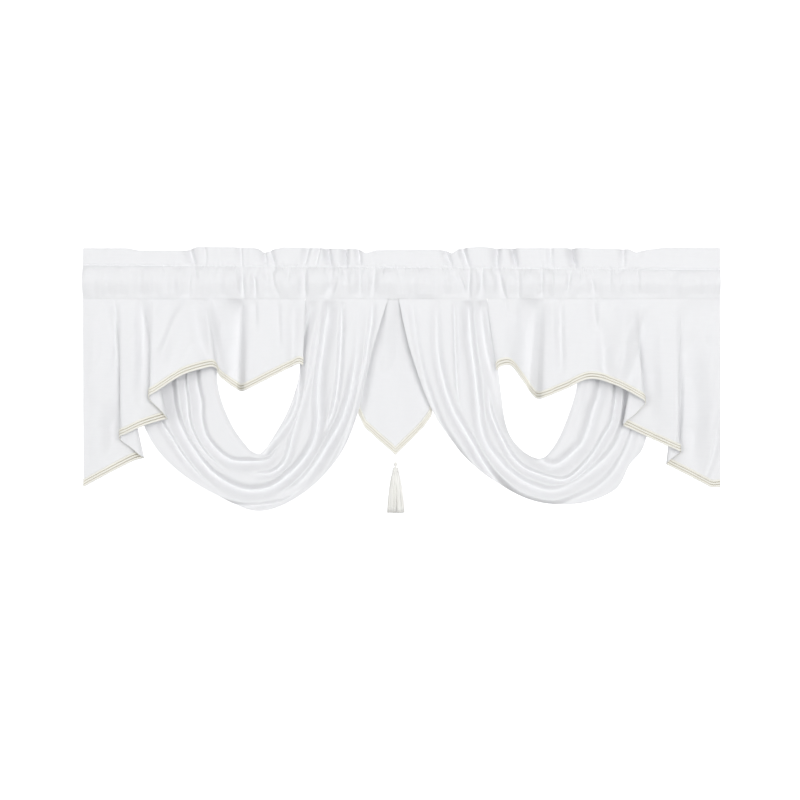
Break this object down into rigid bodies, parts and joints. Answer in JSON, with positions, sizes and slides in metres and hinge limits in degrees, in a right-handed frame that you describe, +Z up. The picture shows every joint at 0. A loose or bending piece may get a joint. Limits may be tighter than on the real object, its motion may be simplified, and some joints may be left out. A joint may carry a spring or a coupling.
{
  "type": "valance curtain",
  "caption": "White rod-pocket window valance: gathered header, stepped braid-edged jabots, draped swags and a pointed, tasselled centre panel.",
  "frame": {"origin": "middle of the heading's top edge", "axes": "+X to the right seen from the front, +Y away from the viewer, +Z up"},
  "size_m": [1.3681, 0.0822, 0.5748],
  "materials": {
    "white_cloth": "soft sheen, closely woven",
    "ivory_braid": "corded gimp braid",
    "ivory_thread": "silky thread"
  },
  "bodies": {
    "root": {"heading": "white_cloth", "jabot_left": "white_cloth", "jabot_right": "white_cloth", "swag_left": "white_cloth", "swag_right": "white_cloth", "centre_panel": "white_cloth", "braid_left": "ivory_braid", "braid_right": "ivory_braid", "braid_centre": "ivory_braid", "tassel": "ivory_thread"}
  },
  "joints": []
}
